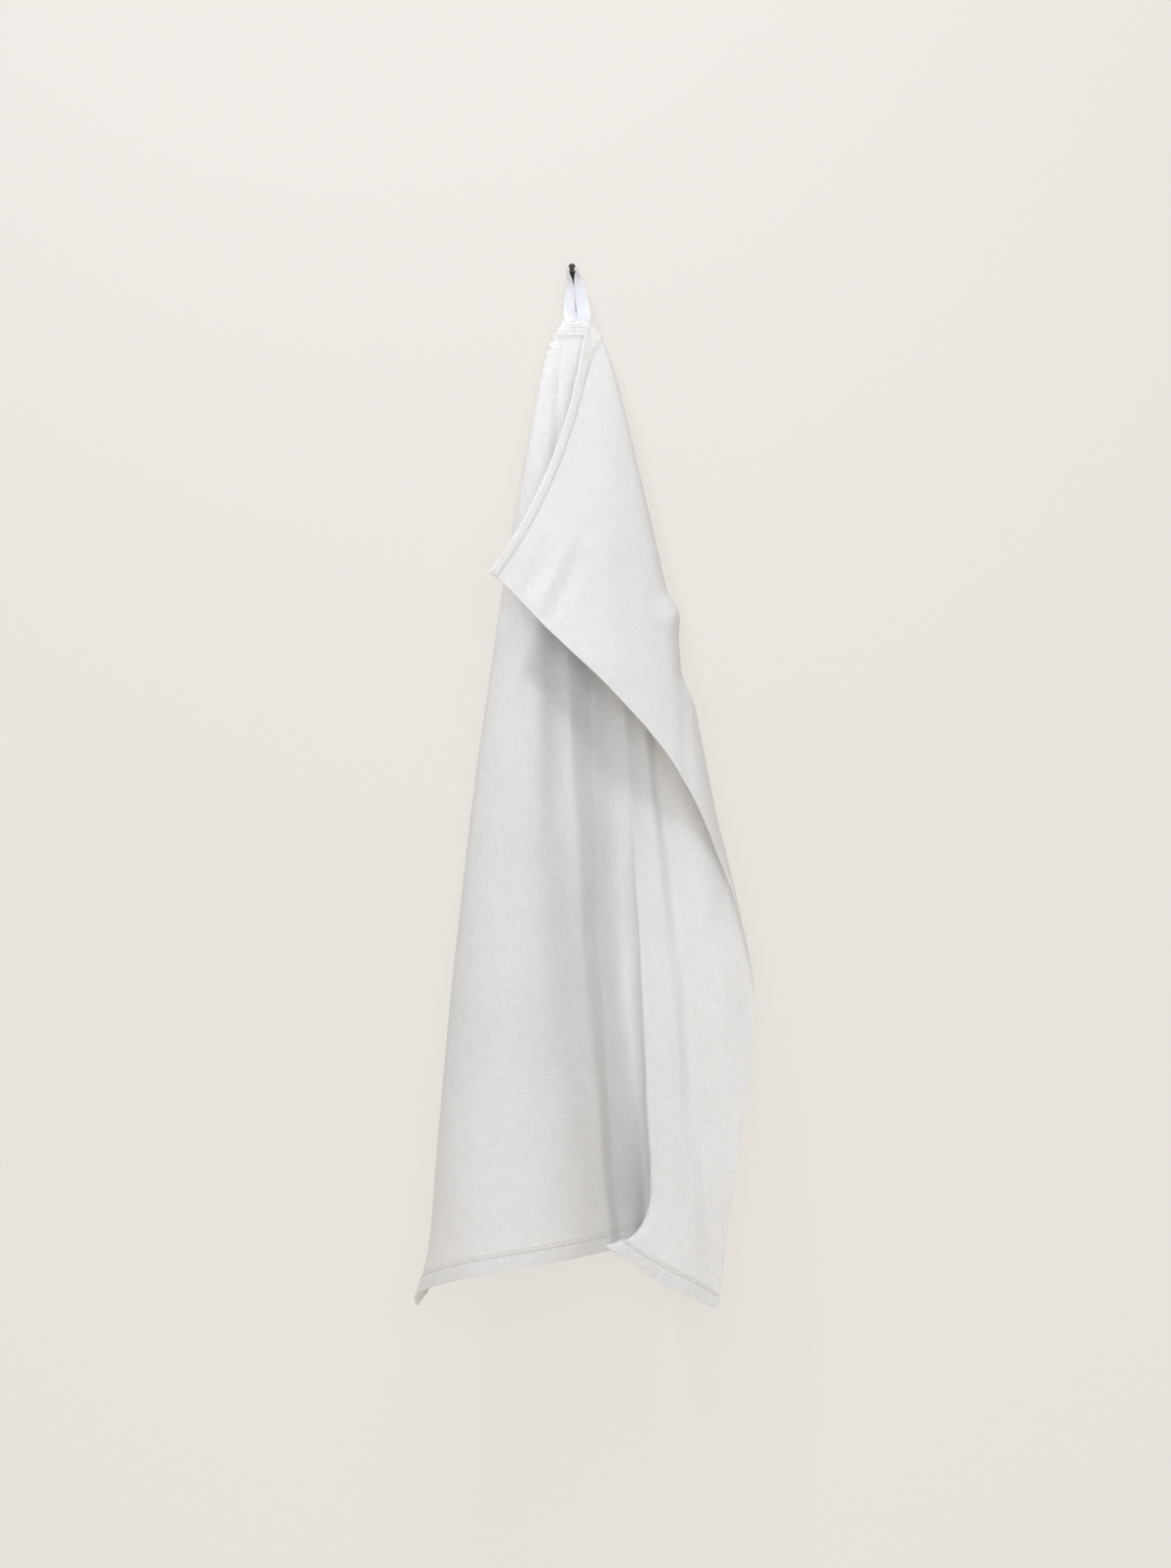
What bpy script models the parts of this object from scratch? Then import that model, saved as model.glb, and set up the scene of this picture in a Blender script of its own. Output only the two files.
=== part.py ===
"""Kitchen towel hanging by its sewn tape loop from a small wall hook.

Metres, +Z up. The wall is the plane y = 0 and the room is at -y. The origin is the
middle of the hook plate's back face. Pieces: the towel, its hanging loop, the hook.
"""
import math
from collections import namedtuple

import bpy
import bmesh
import numpy as np

# Towel as cut and hemmed
WIDTH = 0.500
LENGTH = 0.700
CLOTH_THICK = 0.0012
HEM_THICK = 0.0018
HEM_WIDE = 0.012

# Where the loop holds the middle of the top hem
HELD_X = 0.003
HELD_Y = -0.024
HELD_Z = -0.0248
HELD_HALF = 0.011
HELD_SHARPNESS = 6
HELD_TURN = math.radians(80.0)
HELD_TURN_POWER = 0.7

# How the folds start, end and stretch
RING_REACH = 0.016
FLARE_REACH = 0.060
BIAS_GIVE = 0.045
LENGTH_SAMPLES = 16
LEAST_STEEPNESS = 0.05

# Faces of the towel: columns across and rows down, closer together at the loop
COLUMNS = 60
COLUMN_CROWDING = 0.55
ROWS = 34
ROW_CROWDING = 1.6

# Hook: a slim plate with a round peg
PLATE_WIDE = 0.007
PLATE_TALL = 0.0366
PLATE_THICK = 0.002
PLATE_CORNER = 0.0033
PLATE_EDGE = 0.0004
PLATE_EDGE_STEPS = 2
CORNER_STEPS = 6
PEG_RADIUS = 0.002
PEG_REACH = 0.029
PEG_Z = 0.0162
PEG_SIDES = 24
PEG_END_RINGS = 4

# Hanging loop of flat tape
TAPE_WIDE = 0.0104
TAPE_THICK = 0.0009
TAPE_STEPS = 60

# Each fold runs from the loop to a point (u, v) on the towel's edge, where u is measured
# across from the left selvage and v down from the top hem. x and y say where that point
# hangs, measured from the held middle of the hem; bow bends the fold halfway down, ring
# sets it off at the loop, and flare moves its last stretch at the lower hem.
Fold = namedtuple("Fold", "name u v x y bow_x bow_y ring_x ring_y flare_x flare_y")
FOLDS = (
    Fold("back hem", 0.000, 0.000, 0.035, 0.018, 0.000, 0.000, 0.004, 0.017, 0.000, 0.000),
    Fold("back pleat start", 0.000, 0.095, -0.040, 0.014, 0.006, 0.000, -0.005, 0.014, 0.000, 0.000),
    Fold("back pleat end", 0.000, 0.130, -0.040, 0.006, 0.006, 0.000, -0.006, 0.012, 0.000, 0.000),
    Fold("inner pleat start", 0.000, 0.240, 0.044, 0.004, -0.008, 0.000, -0.005, 0.010, 0.000, 0.000),
    Fold("inner pleat end", 0.000, 0.370, 0.054, -0.014, -0.008, 0.000, -0.005, 0.008, 0.000, 0.000),
    Fold("left edge", 0.000, 0.700, -0.104, -0.050, -0.010, 0.000, -0.007, 0.004, -0.014, -0.006),
    Fold("hump left", 0.035, 0.700, -0.109, -0.080, -0.012, 0.000, -0.007, 0.001, -0.006, 0.000),
    Fold("hump front", 0.080, 0.700, -0.085, -0.116, -0.008, 0.000, -0.005, 0.000, 0.000, 0.000),
    Fold("hump crown", 0.125, 0.700, -0.044, -0.124, -0.005, 0.000, -0.003, 0.000, 0.000, 0.000),
    Fold("hump right", 0.170, 0.700, -0.008, -0.108, -0.009, 0.000, -0.001, 0.000, 0.000, 0.000),
    Fold("hump back", 0.210, 0.700, 0.013, -0.078, -0.009, -0.008, 0.000, 0.000, 0.000, 0.000),
    Fold("valley wall", 0.250, 0.700, 0.029, -0.044, -0.009, -0.018, 0.000, 0.000, 0.000, 0.000),
    Fold("valley", 0.292, 0.700, 0.046, -0.009, -0.012, -0.028, 0.000, 0.000, 0.000, 0.000),
    Fold("valley floor", 0.325, 0.700, 0.059, 0.008, -0.009, -0.032, 0.001, 0.000, -0.006, 0.000),
    Fold("panel foot", 0.365, 0.700, 0.063, -0.026, 0.000, -0.020, 0.002, 0.000, -0.011, -0.006),
    Fold("fold edge", 0.400, 0.700, 0.058, -0.058, 0.006, -0.006, 0.003, 0.000, -0.036, -0.017),
    Fold("panel trough", 0.430, 0.700, 0.075, -0.062, 0.005, -0.003, 0.004, 0.000, -0.031, -0.009),
    Fold("panel right", 0.465, 0.700, 0.091, -0.068, 0.004, -0.002, 0.005, 0.000, -0.012, -0.002),
    Fold("right corner", 0.500, 0.700, 0.105, -0.068, 0.004, 0.002, 0.006, 0.000, 0.000, 0.000),
    Fold("edge low", 0.500, 0.590, 0.119, -0.064, 0.002, 0.000, 0.007, 0.000, 0.000, 0.000),
    Fold("edge middle", 0.500, 0.470, 0.133, -0.048, 0.000, 0.000, 0.008, 0.000, 0.000, 0.000),
    Fold("edge high", 0.500, 0.357, 0.114, -0.060, 0.002, 0.000, 0.008, -0.001, 0.000, 0.000),
    Fold("flap right", 0.500, 0.240, 0.073, -0.074, 0.005, 0.000, 0.006, -0.003, 0.000, 0.000),
    Fold("flap middle", 0.500, 0.160, 0.027, -0.084, 0.009, 0.000, 0.001, -0.005, 0.000, 0.000),
    Fold("flap left", 0.500, 0.080, -0.026, -0.092, 0.012, 0.000, -0.002, -0.007, 0.000, 0.000),
    Fold("front hem", 0.500, 0.000, -0.063, -0.102, 0.014, 0.000, -0.004, -0.009, 0.000, 0.000),
)

# The tape's middle line seen from the peg's axis, in order along the tape. turn is the
# angle of its width in plan: 0 flat with its inner edge to the right, 90 edge-on.
TapeSection = namedtuple("TapeSection", "name x y z turn")
TAPE_SECTIONS = (
    TapeSection("left foot", 0.0012, -0.0222, -0.0525, 0.0),
    TapeSection("left sewn", 0.0010, -0.0222, -0.0430, 0.0),
    TapeSection("left hem", -0.0012, -0.0213, -0.0365, 16.0),
    TapeSection("left low", -0.0017, -0.0210, -0.0310, 33.0),
    TapeSection("left middle", -0.0016, -0.0205, -0.0215, 47.0),
    TapeSection("left high", -0.0019, -0.0200, -0.0095, 70.0),
    TapeSection("left shoulder", -0.0034, -0.0200, -0.0020, 84.0),
    TapeSection("arch left", -0.0026, -0.0200, 0.0019, 89.0),
    TapeSection("arch", 0.0000, -0.0200, 0.0032, 90.0),
    TapeSection("arch right", 0.0027, -0.0200, 0.0019, 91.0),
    TapeSection("right shoulder", 0.0040, -0.0200, -0.0014, 98.0),
    TapeSection("right high", 0.0050, -0.0200, -0.0066, 122.0),
    TapeSection("right middle", 0.0064, -0.0205, -0.0175, 148.0),
    TapeSection("right low", 0.0082, -0.0208, -0.0305, 168.0),
    TapeSection("right hem", 0.0088, -0.0210, -0.0375, 178.0),
    TapeSection("right sewn", 0.0078, -0.0209, -0.0430, 180.0),
    TapeSection("right foot", 0.0076, -0.0209, -0.0525, 180.0),
)


def clear_scene():
    """Remove every object of the open file."""
    for old in list(bpy.data.objects):
        bpy.data.objects.remove(old, do_unlink=True)


def make_material(name, color, roughness, metallic):
    """A plain Principled material."""
    material = bpy.data.materials.new(name)
    material.use_nodes = True
    shader = material.node_tree.nodes["Principled BSDF"]
    shader.inputs["Base Color"].default_value = (*color, 1.0)
    shader.inputs["Roughness"].default_value = roughness
    shader.inputs["Metallic"].default_value = metallic
    return material


def add_object(name, mesh, material, parent):
    """Link a mesh as an object under the part's empty."""
    mesh.materials.append(material)
    piece = bpy.data.objects.new(name, mesh)
    piece.parent = parent
    bpy.context.scene.collection.objects.link(piece)
    return piece


def spline(knots, rows, at):
    """Natural cubic spline through rows of values, one row per knot."""
    count = len(knots)
    steps = np.diff(knots)
    matrix = np.eye(count)
    right = np.zeros_like(rows)
    for i in range(1, count - 1):
        matrix[i, i - 1:i + 2] = steps[i - 1], 2.0 * (steps[i - 1] + steps[i]), steps[i]
        slope_after = (rows[i + 1] - rows[i]) / steps[i]
        slope_before = (rows[i] - rows[i - 1]) / steps[i - 1]
        right[i] = 6.0 * (slope_after - slope_before)
    bend = np.linalg.solve(matrix, right)
    i = np.clip(np.searchsorted(knots, at) - 1, 0, count - 2)
    step = steps[i][..., None]
    after = (at - knots[i])[..., None]
    before = (knots[i + 1] - at)[..., None]
    curved = (bend[i] * before ** 3 + bend[i + 1] * after ** 3) / (6.0 * step)
    start = (rows[i] / step - bend[i] * step / 6.0) * before
    end = (rows[i + 1] / step - bend[i + 1] * step / 6.0) * after
    return curved + start + end


def spoke_of(u, v):
    """Foot of a point's spoke on the held hem, its distance down it and its angle."""
    across = u - WIDTH / 2.0
    squeeze = (1.0 + np.abs(across / HELD_HALF) ** HELD_SHARPNESS) ** (1.0 / HELD_SHARPNESS)
    foot = across / squeeze
    return foot, np.hypot(across - foot, v), np.arctan2(across - foot, v)


def foot_offset(foot, distance):
    """Plan offset of a spoke's foot; the held strip turns edge-on further down."""
    turn = HELD_TURN * np.clip(distance / LENGTH, 0.0, 1.0) ** HELD_TURN_POWER
    return foot * np.cos(turn), foot * np.sin(turn)


def spoke_shape(distance, reach):
    """Weights of bow, ring and flare at a distance down a spoke, and their slopes."""
    part = distance / reach
    fade = np.exp(-distance / RING_REACH)
    flare = np.clip((distance - reach + FLARE_REACH) / FLARE_REACH, 0.0, None)
    weights = (4.0 * part * (1.0 - part), 1.0 - fade, flare ** 2)
    slopes = (4.0 * (1.0 - 2.0 * part) / reach, fade / RING_REACH, 2.0 * flare / FLARE_REACH)
    return weights, slopes


def fold_rows():
    """Angle of each fold and its values: lean, bow, ring, flare and reach."""
    angles = []
    rows = []
    for fold in FOLDS:
        foot, reach, angle = spoke_of(np.float64(fold.u), np.float64(fold.v))
        foot_x, foot_y = foot_offset(foot, reach)
        lean_x = (fold.x - foot_x - fold.ring_x) / reach
        lean_y = (fold.y - foot_y - fold.ring_y) / reach
        angles.append(angle)
        rows.append((lean_x, lean_y, fold.bow_x, fold.bow_y, fold.ring_x, fold.ring_y,
                     fold.flare_x, fold.flare_y, reach))
    return np.array(angles), np.array(rows)


def towel_points(u, v):
    """Where the points (u, v) of the flat towel hang."""
    angles, rows = fold_rows()
    foot, distance, angle = spoke_of(u, v)
    values = spline(angles, rows, angle)
    lean = values[..., 0:2]
    bends = (values[..., 2:4], values[..., 4:6], values[..., 6:8])
    reach = values[..., 8]
    weights, _ = spoke_shape(distance, reach)
    plan = lean * distance[..., None]
    for bend, weight in zip(bends, weights):
        plan = plan + bend * weight[..., None]
    give = 1.0 + BIAS_GIVE * np.sin(2.0 * angle) ** 2
    drop = np.zeros_like(distance)
    for sample, share in zip(*np.polynomial.legendre.leggauss(LENGTH_SAMPLES)):
        _, slopes = spoke_shape(distance * (sample + 1.0) / 2.0, reach)
        slope = lean
        for bend, rate in zip(bends, slopes):
            slope = slope + bend * rate[..., None]
        steepness = np.maximum(give ** 2 - (slope ** 2).sum(axis=-1), LEAST_STEEPNESS)
        drop += share * np.sqrt(steepness)
    drop *= distance / 2.0
    foot_x, foot_y = foot_offset(foot, distance)
    return np.stack((HELD_X + foot_x + plan[..., 0], HELD_Y + foot_y + plan[..., 1],
                     HELD_Z - drop), axis=-1)


def column_places():
    """Distances across the towel, crowded towards its middle."""
    even = np.linspace(-1.0, 1.0, COLUMNS + 1)
    crowded = (1.0 - COLUMN_CROWDING) * even + COLUMN_CROWDING * even * np.abs(even)
    return WIDTH / 2.0 * (1.0 + crowded)


def row_places():
    """Distances down the towel, crowded towards the loop, with a row at each hem line."""
    even = np.linspace(0.0, 1.0, ROWS - 1)
    inside = HEM_WIDE + (LENGTH - 2.0 * HEM_WIDE) * even ** ROW_CROWDING
    return np.concatenate(([0.0], inside, [LENGTH]))


def grid_mesh(name, points):
    """Mesh through a grid of points, cut along the lines that fan out from its middle."""
    across, down = points.shape[:2]
    index = np.arange(across * down).reshape(across, down)
    middle = (across - 1) // 2
    faces = []
    for i in range(across - 1):
        for j in range(down - 1):
            a, b, c, d = index[i, j], index[i, j + 1], index[i + 1, j + 1], index[i + 1, j]
            if i < middle:
                faces += [(a, b, d), (b, c, d)]
            else:
                faces += [(a, b, c), (a, c, d)]
    mesh = bpy.data.meshes.new(name)
    mesh.from_pydata(points.reshape(-1, 3).tolist(), [], [tuple(map(int, f)) for f in faces])
    mesh.shade_smooth()
    return mesh


def build_towel(parent, material):
    """One sheet of linen with its two sewn hems, solid through its thickness."""
    columns, rows = np.meshgrid(column_places(), row_places(), indexing="ij")
    mesh = grid_mesh("towel", towel_points(columns, rows))
    piece = add_object("towel", mesh, material, parent)
    hem = piece.vertex_groups.new(name="hem")
    flat = rows.ravel()
    in_hem = (flat <= HEM_WIDE) | (flat >= LENGTH - HEM_WIDE)
    hem.add(np.flatnonzero(in_hem).tolist(), 1.0, "REPLACE")
    solid = piece.modifiers.new("cloth thickness", "SOLIDIFY")
    solid.thickness = HEM_THICK
    solid.offset = 0.0
    solid.vertex_group = "hem"
    solid.thickness_vertex_group = CLOTH_THICK / HEM_THICK
    return piece


def build_loop(parent, material):
    """Flat tape from the left leg's foot over the peg to the right leg's foot."""
    sections = np.array([section[1:] for section in TAPE_SECTIONS])
    gaps = np.linalg.norm(np.diff(sections[:, 0:3], axis=0), axis=1)
    along = np.concatenate(([0.0], np.cumsum(gaps)))
    path = spline(along, sections, np.linspace(0.0, along[-1], TAPE_STEPS + 1))
    turn = np.radians(path[:, 3])
    width = np.stack((np.cos(turn), -np.sin(turn), np.zeros_like(turn)), axis=-1)
    middle = path[:, 0:3] + np.array((0.0, 0.0, PEG_Z))
    edges = [middle + width * (TAPE_WIDE * side / 2.0) for side in (-1.0, 0.0, 1.0)]
    mesh = grid_mesh("hanging_loop", np.stack(edges, axis=0))
    piece = add_object("hanging_loop", mesh, material, parent)
    solid = piece.modifiers.new("tape thickness", "SOLIDIFY")
    solid.thickness = TAPE_THICK
    solid.offset = 0.0
    return piece


def plate_outline():
    """Rounded rectangle of the plate in x and z."""
    centre_x = PLATE_WIDE / 2.0 - PLATE_CORNER
    centre_z = PLATE_TALL / 2.0 - PLATE_CORNER
    outline = []
    for quarter, (side_x, side_z) in enumerate(((1, 1), (-1, 1), (-1, -1), (1, -1))):
        for step in range(CORNER_STEPS + 1):
            angle = (quarter + step / CORNER_STEPS) * math.pi / 2.0
            outline.append((side_x * centre_x + PLATE_CORNER * math.cos(angle),
                            side_z * centre_z + PLATE_CORNER * math.sin(angle)))
    return outline


def build_plate(parent, material):
    """Plate with its back face on the wall plane and a softened front edge."""
    shape = bmesh.new()
    ring = [shape.verts.new((x, 0.0, z)) for x, z in plate_outline()]
    back = shape.faces.new(ring)
    grown = bmesh.ops.extrude_face_region(shape, geom=[back])
    front = [item for item in grown["geom"] if isinstance(item, bmesh.types.BMVert)]
    bmesh.ops.translate(shape, vec=(0.0, -PLATE_THICK, 0.0), verts=front)
    rim = [item for item in grown["geom"] if isinstance(item, bmesh.types.BMEdge)]
    bmesh.ops.bevel(shape, geom=rim, offset=PLATE_EDGE, segments=PLATE_EDGE_STEPS,
                    affect="EDGES")
    bmesh.ops.recalc_face_normals(shape, faces=shape.faces)
    mesh = bpy.data.meshes.new("hook")
    shape.to_mesh(mesh)
    shape.free()
    return add_object("hook", mesh, material, parent)


def peg_profile():
    """Radius and reach of the peg, from inside the plate to its round end."""
    profile = [(0.0, -PLATE_THICK / 2.0), (PEG_RADIUS, -PLATE_THICK / 2.0)]
    for ring in range(PEG_END_RINGS + 1):
        angle = ring / PEG_END_RINGS * math.pi / 2.0
        profile.append((PEG_RADIUS * math.cos(angle),
                        PEG_RADIUS - PEG_REACH - PEG_RADIUS * math.sin(angle)))
    return profile


def build_peg(parent, material):
    """Round peg as a spun profile, used to grow the plate."""
    shape = bmesh.new()
    verts = [shape.verts.new((radius, reach, 0.0)) for radius, reach in peg_profile()]
    edges = [shape.edges.new(pair) for pair in zip(verts[:-1], verts[1:])]
    bmesh.ops.spin(shape, geom=verts + edges, axis=(0.0, 1.0, 0.0), cent=(0.0, 0.0, 0.0),
                   steps=PEG_SIDES, angle=2.0 * math.pi)
    bmesh.ops.remove_doubles(shape, verts=shape.verts, dist=0.00001)
    bmesh.ops.recalc_face_normals(shape, faces=shape.faces)
    mesh = bpy.data.meshes.new("peg")
    shape.to_mesh(mesh)
    shape.free()
    peg = add_object("peg guide", mesh, material, parent)
    peg.location.z = PEG_Z
    peg.hide_render = True
    peg.display_type = "WIRE"
    return peg


def build_hook(parent, material):
    """Plate and peg joined into one piece."""
    hook = build_plate(parent, material)
    peg = build_peg(parent, material)
    join = hook.modifiers.new("peg", "BOOLEAN")
    join.operation = "UNION"
    join.solver = "EXACT"
    join.object = peg
    return hook


def main():
    clear_scene()
    part = bpy.data.objects.new("towel on a hook", None)
    bpy.context.scene.collection.objects.link(part)
    linen = make_material("white linen", (0.76, 0.75, 0.73), 0.9, 0.0)
    tape = make_material("white cotton tape", (0.86, 0.87, 0.90), 0.85, 0.0)
    iron = make_material("black painted iron", (0.03, 0.027, 0.025), 0.5, 0.0)
    build_towel(part, linen)
    build_loop(part, tape)
    build_hook(part, iron)


if __name__ == "__main__":
    main()
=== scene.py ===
"""Looks of a white linen kitchen towel that hangs by its tape loop from a small wall hook.

Metres, +Z up. The wall is the plane y = 0 and the room is at -y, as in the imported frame.
"""
import math
from collections import namedtuple

import bmesh
import bpy
import numpy as np
from bpy.props import FloatProperty, FloatVectorProperty, PointerProperty, StringProperty
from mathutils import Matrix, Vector


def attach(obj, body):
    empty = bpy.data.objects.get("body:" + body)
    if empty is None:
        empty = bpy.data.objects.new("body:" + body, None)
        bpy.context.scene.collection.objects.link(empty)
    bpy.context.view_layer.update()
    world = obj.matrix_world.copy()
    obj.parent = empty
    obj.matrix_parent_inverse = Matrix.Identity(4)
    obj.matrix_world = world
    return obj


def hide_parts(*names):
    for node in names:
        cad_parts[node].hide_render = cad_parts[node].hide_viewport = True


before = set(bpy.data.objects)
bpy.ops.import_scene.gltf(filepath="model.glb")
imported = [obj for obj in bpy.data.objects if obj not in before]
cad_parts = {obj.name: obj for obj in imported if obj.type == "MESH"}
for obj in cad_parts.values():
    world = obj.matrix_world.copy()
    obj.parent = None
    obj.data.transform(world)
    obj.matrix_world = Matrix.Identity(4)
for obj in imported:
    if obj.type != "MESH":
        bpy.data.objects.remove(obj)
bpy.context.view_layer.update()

bl_info = {
    "name": "Linen Towel on a Hook",
    "version": (1, 0, 0),
    "blender": (4, 5, 0),
    "location": "3D View > Sidebar > Towel",
    "description": "Hangs a hemmed linen kitchen towel by its tape loop from a small wall hook",
    "category": "Object",
}

BODY = "root"
MM = 0.001

# How the held middle of the top hem gathers and how the folds start, end and stretch
HELD_X = 0.003
HELD_Y = -0.024
HELD_Z = -0.0248
HELD_HALF = 0.011
HELD_SHARPNESS = 6
HELD_TURN = math.radians(80.0)
HELD_TURN_POWER = 0.7
RING_REACH = 0.016
FLARE_REACH = 0.060
BIAS_GIVE = 0.045
LENGTH_SAMPLES = 16
LEAST_STEEPNESS = 0.05

# Each fold runs from the loop to a point (u, v) on the towel's edge, where u is measured
# across from the left selvage and v down from the top hem. x and y say where that point
# hangs, measured from the held middle of the hem; bow bends the fold halfway down, ring
# sets it off at the loop, and flare moves its last stretch at the lower hem.
Fold = namedtuple("Fold", "name u v x y bow_x bow_y ring_x ring_y flare_x flare_y")
FOLDS = (
    Fold("back hem", 0.000, 0.000, 0.035, 0.018, 0.000, 0.000, 0.004, 0.017, 0.000, 0.000),
    Fold("back pleat start", 0.000, 0.095, -0.040, 0.014, 0.006, 0.000, -0.005, 0.014, 0.000, 0.000),
    Fold("back pleat end", 0.000, 0.130, -0.040, 0.006, 0.006, 0.000, -0.006, 0.012, 0.000, 0.000),
    Fold("inner pleat start", 0.000, 0.240, 0.044, 0.004, -0.008, 0.000, -0.005, 0.010, 0.000, 0.000),
    Fold("inner pleat end", 0.000, 0.370, 0.054, -0.014, -0.008, 0.000, -0.005, 0.008, 0.000, 0.000),
    Fold("left edge", 0.000, 0.700, -0.104, -0.050, -0.010, 0.000, -0.007, 0.004, -0.014, -0.006),
    Fold("hump left", 0.035, 0.700, -0.109, -0.080, -0.012, 0.000, -0.007, 0.001, -0.006, 0.000),
    Fold("hump front", 0.080, 0.700, -0.085, -0.116, -0.008, 0.000, -0.005, 0.000, 0.000, 0.000),
    Fold("hump crown", 0.125, 0.700, -0.044, -0.124, -0.005, 0.000, -0.003, 0.000, 0.000, 0.000),
    Fold("hump right", 0.170, 0.700, -0.008, -0.108, -0.009, 0.000, -0.001, 0.000, 0.000, 0.000),
    Fold("hump back", 0.210, 0.700, 0.013, -0.078, -0.009, -0.008, 0.000, 0.000, 0.000, 0.000),
    Fold("valley wall", 0.250, 0.700, 0.029, -0.044, -0.009, -0.018, 0.000, 0.000, 0.000, 0.000),
    Fold("valley", 0.292, 0.700, 0.046, -0.009, -0.012, -0.028, 0.000, 0.000, 0.000, 0.000),
    Fold("valley floor", 0.325, 0.700, 0.059, 0.008, -0.009, -0.032, 0.001, 0.000, -0.006, 0.000),
    Fold("panel foot", 0.365, 0.700, 0.063, -0.026, 0.000, -0.020, 0.002, 0.000, -0.011, -0.006),
    Fold("fold edge", 0.400, 0.700, 0.058, -0.058, 0.006, -0.006, 0.003, 0.000, -0.036, -0.017),
    Fold("panel trough", 0.430, 0.700, 0.075, -0.062, 0.005, -0.003, 0.004, 0.000, -0.031, -0.009),
    Fold("panel right", 0.465, 0.700, 0.091, -0.068, 0.004, -0.002, 0.005, 0.000, -0.012, -0.002),
    Fold("right corner", 0.500, 0.700, 0.105, -0.068, 0.004, 0.002, 0.006, 0.000, 0.000, 0.000),
    Fold("edge low", 0.500, 0.590, 0.119, -0.064, 0.002, 0.000, 0.007, 0.000, 0.000, 0.000),
    Fold("edge middle", 0.500, 0.470, 0.133, -0.048, 0.000, 0.000, 0.008, 0.000, 0.000, 0.000),
    Fold("edge high", 0.500, 0.357, 0.114, -0.060, 0.002, 0.000, 0.008, -0.001, 0.000, 0.000),
    Fold("flap right", 0.500, 0.240, 0.073, -0.074, 0.005, 0.000, 0.006, -0.003, 0.000, 0.000),
    Fold("flap middle", 0.500, 0.160, 0.027, -0.084, 0.009, 0.000, 0.001, -0.005, 0.000, 0.000),
    Fold("flap left", 0.500, 0.080, -0.026, -0.092, 0.012, 0.000, -0.002, -0.007, 0.000, 0.000),
    Fold("front hem", 0.500, 0.000, -0.063, -0.102, 0.014, 0.000, -0.004, -0.009, 0.000, 0.000),
)

# Soft creases in the cloth, in the towel's own u and v: from (u0, v0) to (u1, v1), how far
# the crease stands off the cloth's right side (below 0 it sinks) and how wide it is. The
# right side faces the room on the hump and the panel, and the wall on the turned-over flap.
# It grows over one share of its length and fades over another.
Crease = namedtuple("Crease", "name u0 v0 u1 v1 rise wide")
CREASES = (
    Crease("flap kink ridge", 0.496, 0.070, 0.405, 0.058, -0.0012, 0.0065),
    Crease("flap kink trough", 0.498, 0.087, 0.420, 0.074, 0.0011, 0.0070),
    Crease("flap corner hollow", 0.498, 0.054, 0.440, 0.040, 0.0008, 0.0100),
    Crease("flap soft fold", 0.470, 0.160, 0.360, 0.075, 0.0010, 0.014),
    Crease("flap edge dent", 0.498, 0.260, 0.440, 0.225, 0.0014, 0.012),
    Crease("fold bulge", 0.358, 0.208, 0.427, 0.165, -0.0055, 0.0130),
    Crease("fold notch", 0.380, 0.248, 0.447, 0.206, 0.0036, 0.0150),
    Crease("under flap ridge", 0.455, 0.330, 0.400, 0.520, 0.0012, 0.013),
    Crease("hump rub", 0.090, 0.270, 0.100, 0.440, -0.0010, 0.016),
    Crease("hump long trough", 0.150, 0.250, 0.172, 0.640, -0.0012, 0.014),
    Crease("left long trough", 0.055, 0.330, 0.050, 0.660, -0.0010, 0.012),
    Crease("panel soft trough", 0.465, 0.420, 0.452, 0.640, 0.0010, 0.012),
)
CREASE_GROWS = (-0.12, 0.18)
CREASE_FADES = (0.55, 1.1)

# Surface unevenness: waves of cloth that has been washed and hung, in the towel's u and v.
# They and the creases grow with the distance from the loop, and the gathered back has none.
WAVE_COUNT = 14
WAVE_LONGEST = 0.160
WAVE_SHORTEST = 0.045
WAVE_RISE = 0.00032
WAVE_SEED = 11
CALM_NEAR = 0.100
CALM_FAR = 0.240
CALM_BACK = math.radians(-19.0)
CALM_BACK_SOFT = math.radians(8.0)

# Faces of the towel sheet
SHEET_COLUMNS = 200
SHEET_ROWS = 236
COLUMN_CROWDING = 0.22
ROW_CROWDING = 1.25
SELVAGE_PLACES = (0.0, 0.0009, 0.0024, 0.0045)
HEM_PLACES = (0.0, 0.0006, 0.0018, 0.0045, 0.0075, 0.0098, 0.0108, 0.0114, 0.0121, 0.0128,
              0.0138, 0.0156)

# Hem profile across its width, as distance from the hem's folded edge and the share of the
# hem's full thickness there: rolled edge, flat band, pinched stitch line, turned-in end
HemStep = namedtuple("HemStep", "name place share")
HEM_PROFILE = (
    HemStep("folded edge", 0.0000, 0.55),
    HemStep("rolled", 0.0010, 0.95),
    HemStep("band", 0.0050, 1.00),
    HemStep("before stitches", 0.0100, 0.92),
    HemStep("stitches", 0.0112, 0.52),
    HemStep("after stitches", 0.0121, 0.80),
    HemStep("turned-in end", 0.0130, 0.40),
    HemStep("open cloth", 0.0150, 0.00),
)
STITCH_LINE = 0.0112
TURNED_LINE = 0.0134

# Stitches: threads that start sunk in the cloth, rise over it and are thinner at both ends
STITCH_RINGS = 5
STITCH_SIDES = 6
STITCH_SEED = 5
STITCH_WANDER = 0.06
STITCH_SLANT = 0.0004
STITCH_SUNK = 0.3
STITCH_RISE = 0.55
STITCH_END = 0.45
STITCH_INSET = 0.002
LOOP_STITCH_LINES = (0.0042, 0.0078)
LOOP_STITCH_REACH = 0.8

# Puckers that the seams draw in the cloth beside them, uneven in their spacing
PUCKER_PITCH = 0.0074
PUCKER_RISE = 0.00030
PUCKER_REACH = 0.0070
PUCKER_NEAR = 0.045
PUCKER_FAR = 0.120
PUCKER_SWAY = 2.0
PUCKER_SWAY_PITCHES = 3.7

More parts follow.
